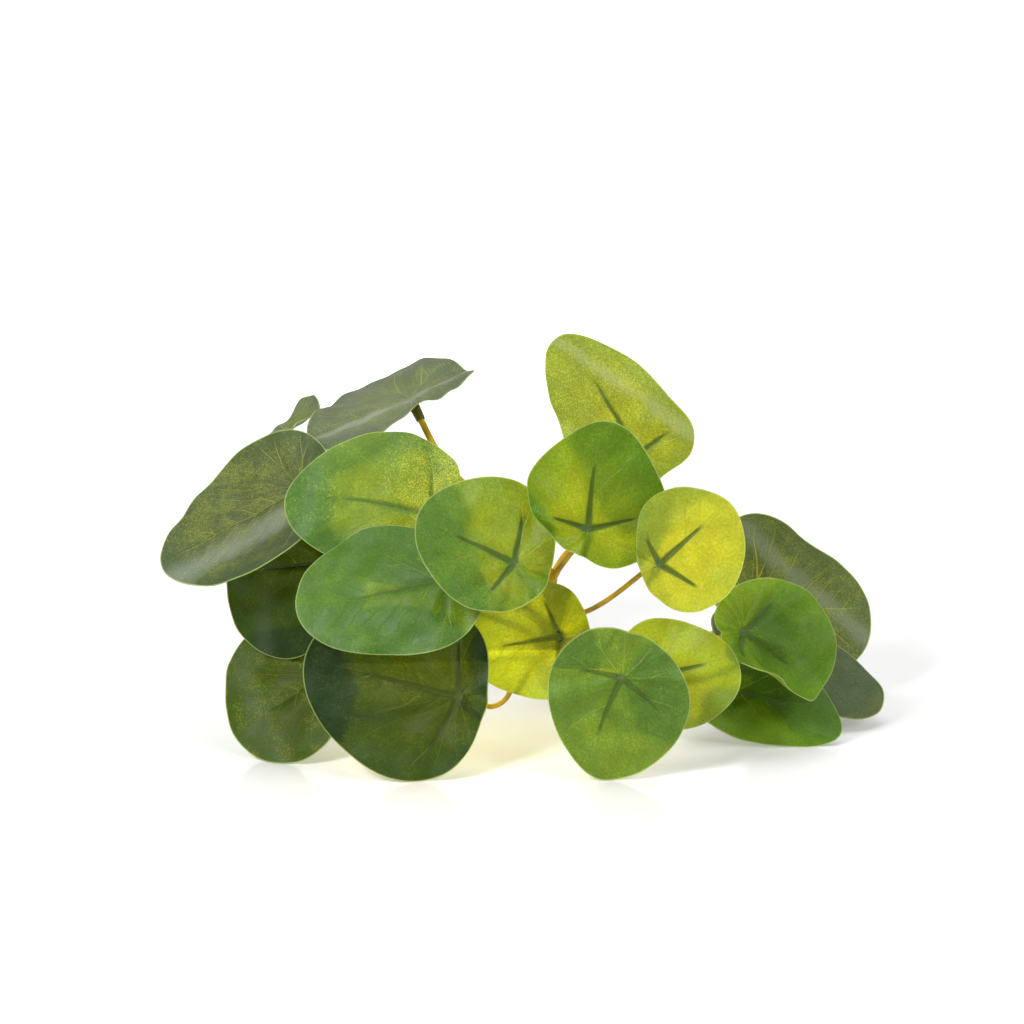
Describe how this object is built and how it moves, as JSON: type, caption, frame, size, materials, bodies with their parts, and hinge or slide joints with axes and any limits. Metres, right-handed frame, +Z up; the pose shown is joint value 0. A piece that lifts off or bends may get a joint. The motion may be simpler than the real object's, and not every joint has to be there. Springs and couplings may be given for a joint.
{
  "type": "artificial pilea spray",
  "caption": "Artificial pilea spray with no pot: round printed-cloth leaves on bent wired petioles that branch from one short stem, lying on the rims of its lower leaves.",
  "frame": {"origin": "on the surface that the spray lies on, under the middle of its bounding box", "axes": "+X across the spray to the viewer's right, +Y away from the viewer towards the cut end of the stem, +Z up"},
  "size_m": [0.3272, 0.1947, 0.1872],
  "materials": {
    "leaf_olive": "printed cloth, dark olive with yellow specks",
    "leaf_dark": "printed cloth, deep green, soft gloss",
    "leaf_mid": "printed cloth, mid green",
    "leaf_light": "printed cloth, light yellow-green",
    "leaf_yellow": "printed cloth, yellow with green edges",
    "rib_green": "moulded dark green plastic",
    "stem_ochre": "moulded ochre plastic over wire"
  },
  "bodies": {
    "root": {"leaf_01": "leaf_olive", "rib_01": "rib_green", "leaf_02": "leaf_olive", "rib_02": "rib_green", "leaf_03": "leaf_olive", "rib_03": "rib_green", "leaf_04": "leaf_mid", "rib_04": "rib_green", "leaf_05": "leaf_mid", "rib_05": "rib_green", "leaf_06": "leaf_light", "rib_06": "rib_green", "leaf_07": "leaf_dark", "rib_07": "rib_green", "leaf_08": "leaf_olive", "rib_08": "rib_green", "leaf_09": "leaf_dark", "rib_09": "rib_green", "leaf_10": "leaf_yellow", "rib_10": "rib_green", "leaf_11": "leaf_light", "rib_11": "rib_green", "leaf_12": "leaf_light", "rib_12": "rib_green", "leaf_13": "leaf_yellow", "rib_13": "rib_green", "leaf_14": "leaf_yellow", "rib_14": "rib_green", "leaf_15": "leaf_mid", "rib_15": "rib_green", "leaf_16": "leaf_mid", "rib_16": "rib_green", "leaf_17": "leaf_olive", "rib_17": "rib_green", "leaf_18": "leaf_dark", "rib_18": "rib_green", "leaf_19": "leaf_mid", "rib_19": "rib_green", "stem": "stem_ochre"}
  },
  "joints": []
}
